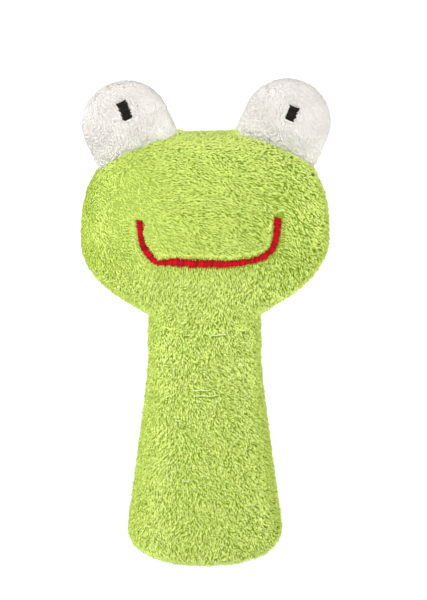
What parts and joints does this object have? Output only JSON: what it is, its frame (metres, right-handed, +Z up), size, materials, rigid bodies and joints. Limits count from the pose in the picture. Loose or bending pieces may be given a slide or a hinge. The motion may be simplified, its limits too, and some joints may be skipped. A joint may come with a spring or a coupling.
{
  "type": "frog rattle",
  "caption": "Soft stuffed terry-cloth rattle: a frog's head with bulb eyes and an embroidered face on a tapered handle that stands on its base, with loose pellets inside.",
  "frame": {"origin": "centre of the flat base that the toy stands on", "axes": "+Z up along the handle to the head, -Y the way the face looks, +X to the viewer's right"},
  "size_m": [0.0811, 0.0508, 0.1591],
  "materials": {
    "green_terry": "short looped terry pile",
    "white_terry": "fine brushed terry pile",
    "green_thread": "polyester sewing thread",
    "white_thread": "polyester sewing thread",
    "fibre_filling": "polyester fibre filling",
    "red_thread": "satin stitch",
    "black_thread": "satin stitch",
    "capsule_plastic": "moulded",
    "pellet_plastic": "polished"
  },
  "bodies": {
    "handle": {"handle_front_panel": "green_terry", "handle_back_panel": "green_terry", "handle_seam_threads": "green_thread", "base_panel": "green_terry", "base_seam_thread": "green_thread", "handle_filling": "fibre_filling"},
    "neck": {"neck_seam_thread": "green_thread"},
    "head": {"head_front_panel": "green_terry", "head_back_panel": "green_terry", "head_seam_thread": "green_thread", "head_front_filling": "fibre_filling", "head_back_filling": "fibre_filling", "mouth_embroidery": "red_thread", "left_eye_front_panel": "white_terry", "left_eye_back_panel": "white_terry", "right_eye_front_panel": "white_terry", "right_eye_back_panel": "white_terry", "left_eye_seam_thread": "white_thread", "right_eye_seam_thread": "white_thread", "left_eye_filling": "fibre_filling", "right_eye_filling": "fibre_filling", "left_pupil": "black_thread", "right_pupil": "black_thread", "rattle_cup": "capsule_plastic", "rattle_lid": "capsule_plastic"},
    "pellet_1": {"pellet_1": "pellet_plastic"},
    "pellet_2": {"pellet_2": "pellet_plastic"},
    "pellet_3": {"pellet_3": "pellet_plastic"},
    "pellet_4": {"pellet_4": "pellet_plastic"},
    "pellet_5": {"pellet_5": "pellet_plastic"},
    "pellet_6": {"pellet_6": "pellet_plastic"}
  },
  "joints": [
    {"name": "neck_nod", "type": "hinge", "parent": "handle", "child": "neck", "pos_m": [0, 0, 0.068], "axis": [1, 0, 0], "range_deg": [-12, 12], "stiffness_Nm_per_rad": 0.1},
    {"name": "neck_sway", "type": "hinge", "parent": "neck", "child": "head", "pos_m": [0, 0, 0.068], "axis": [0, 1, 0], "range_deg": [-12, 12], "stiffness_Nm_per_rad": 0.1},
    {"name": "pellet_1_bounce", "type": "slide", "parent": "head", "child": "pellet_1", "axis": [0, 0, 1], "range_m": [0, 0.0126]},
    {"name": "pellet_2_bounce", "type": "slide", "parent": "head", "child": "pellet_2", "axis": [0, 0, 1], "range_m": [0, 0.0126]},
    {"name": "pellet_3_bounce", "type": "slide", "parent": "head", "child": "pellet_3", "axis": [0, 0, 1], "range_m": [0, 0.0126]},
    {"name": "pellet_4_bounce", "type": "slide", "parent": "head", "child": "pellet_4", "axis": [0, 0, 1], "range_m": [0, 0.0126]},
    {"name": "pellet_5_bounce", "type": "slide", "parent": "head", "child": "pellet_5", "axis": [0, 0, 1], "range_m": [0, 0.0126]},
    {"name": "pellet_6_bounce", "type": "slide", "parent": "head", "child": "pellet_6", "axis": [0, 0, 1], "range_m": [0, 0.0126]}
  ]
}
